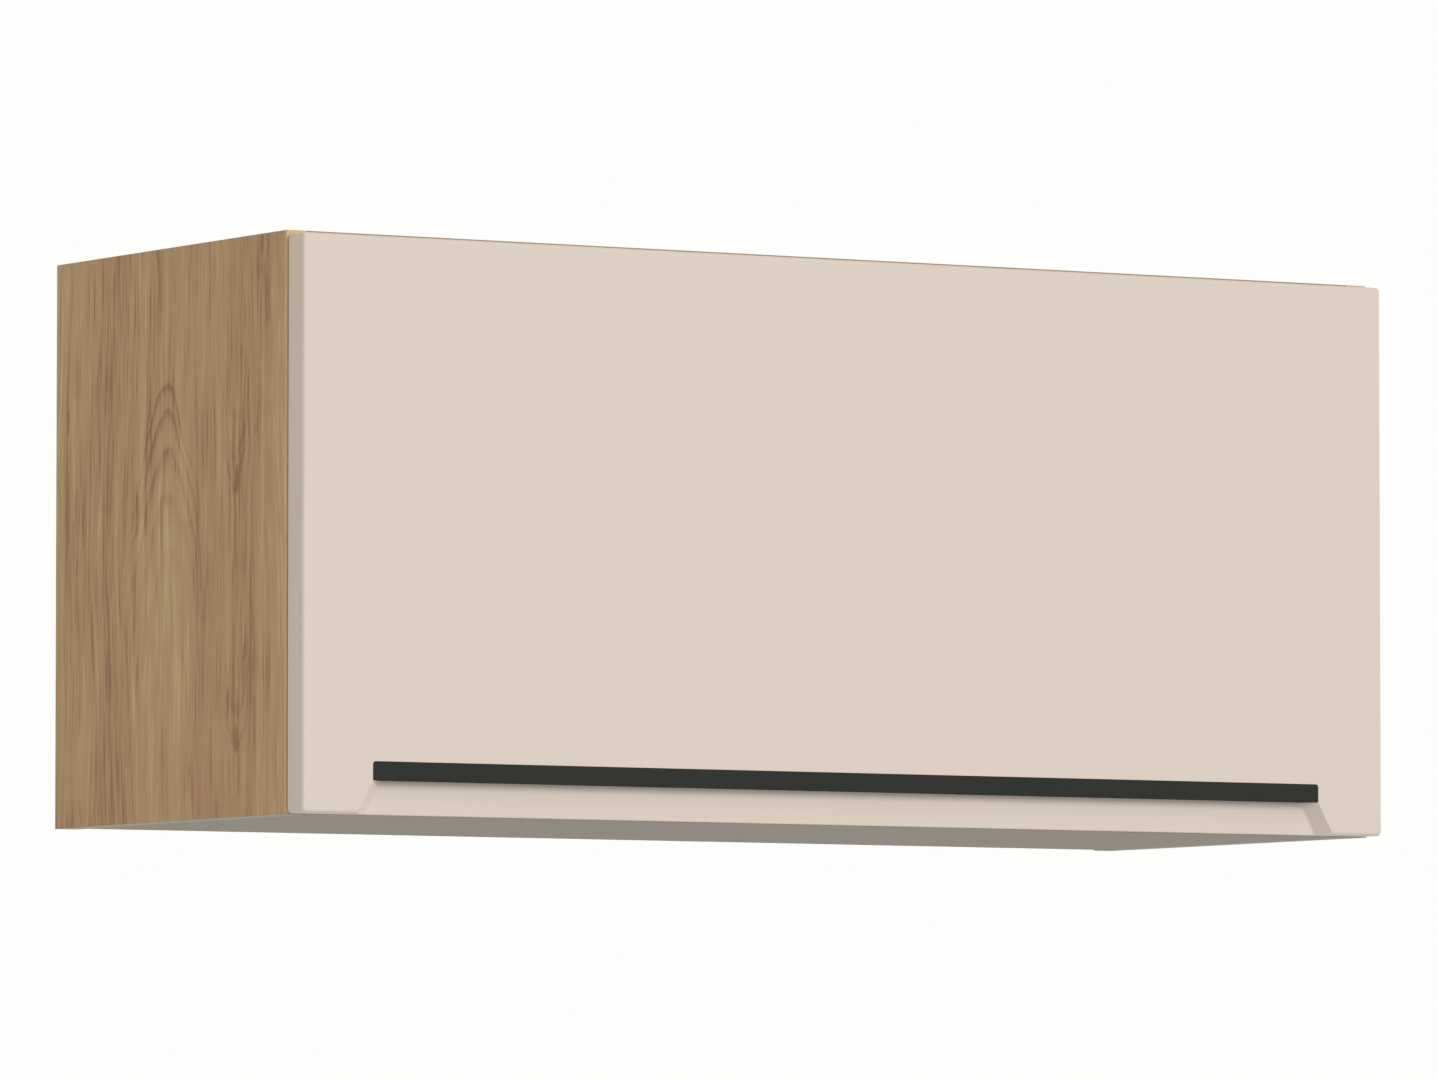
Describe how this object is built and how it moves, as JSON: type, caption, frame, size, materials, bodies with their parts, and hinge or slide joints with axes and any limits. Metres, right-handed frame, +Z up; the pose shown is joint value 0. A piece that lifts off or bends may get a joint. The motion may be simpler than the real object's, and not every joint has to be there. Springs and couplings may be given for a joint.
{
  "type": "lift-up wall cabinet",
  "caption": "Wide kitchen wall cabinet in wood-grain board with a beige door that lifts parallel to itself and a long black let-in handle.",
  "frame": {"origin": "on the wall plane, midway between the two wall screws in the hanging rail", "axes": "+X to the right of someone facing the door, +Y towards the wall, +Z up"},
  "size_m": [0.8, 0.319, 0.358],
  "materials": {
    "grained_board": "wood-grain laminate, satin",
    "grey_board": "grey laminate, satin",
    "hardboard": "thin fibreboard, lacquered on the inside",
    "raw_board": "raw board",
    "beige_lacquer": "satin lacquer on fibreboard",
    "black_anodised": "black anodised, satin",
    "nickel_steel": "nickel-plated pressed steel",
    "zinc_steel": "zinc-plated steel",
    "black_steel": "black enamelled tube",
    "grey_plastic": "moulded plastic, fine matt texture",
    "clear_rubber": "soft clear pad",
    "plywood": "raw plywood strip"
  },
  "bodies": {
    "carcass": {"back_panel": "hardboard", "back_panel_staples": "zinc_steel", "bottom_panel": "grey_board", "corner_splines": "plywood", "guide_studs": "zinc_steel", "hanging_rail": "raw_board", "housing_screws": "zinc_steel", "left_housing_cover": "grey_plastic", "left_lift_housing": "nickel_steel", "left_side_panel": "grained_board", "right_housing_cover": "grey_plastic", "right_lift_housing": "nickel_steel", "right_side_panel": "grained_board", "spring_cartridges": "black_steel", "top_panel": "grained_board"},
    "lift_arms": {"left_main_arm": "nickel_steel", "right_main_arm": "nickel_steel", "sync_shaft": "zinc_steel"},
    "left_guide": {"left_guide_arm": "nickel_steel"},
    "right_guide": {"right_guide_arm": "nickel_steel"},
    "door": {"bracket_screws": "zinc_steel", "door_bumpers": "clear_rubber", "door_panel": "beige_lacquer", "door_pins": "zinc_steel", "handle_profile": "black_anodised", "left_door_bracket": "nickel_steel", "right_door_bracket": "nickel_steel"}
  },
  "joints": [
    {"name": "lift", "type": "hinge", "parent": "carcass", "child": "lift_arms", "pos_m": [0, -0.272, 0.005], "axis": [-1, 0, 0], "range_deg": [0, 115]},
    {"name": "left_guide_swing", "type": "hinge", "parent": "carcass", "child": "left_guide", "pos_m": [0, -0.2473, -0.0338], "axis": [-1, 0, 0], "range_deg": [0, 115]},
    {"name": "right_guide_swing", "type": "hinge", "parent": "carcass", "child": "right_guide", "pos_m": [0, -0.2473, -0.0338], "axis": [-1, 0, 0], "range_deg": [0, 115]},
    {"name": "door_level", "type": "hinge", "parent": "lift_arms", "child": "door", "pos_m": [0, -0.272, -0.195], "axis": [-1, 0, 0], "range_deg": [-115, 0]}
  ],
  "couplings": [
    {"joint": "left_guide_swing", "follows": "lift", "ratio": 1},
    {"joint": "right_guide_swing", "follows": "lift", "ratio": 1},
    {"joint": "door_level", "follows": "lift", "ratio": -1}
  ]
}
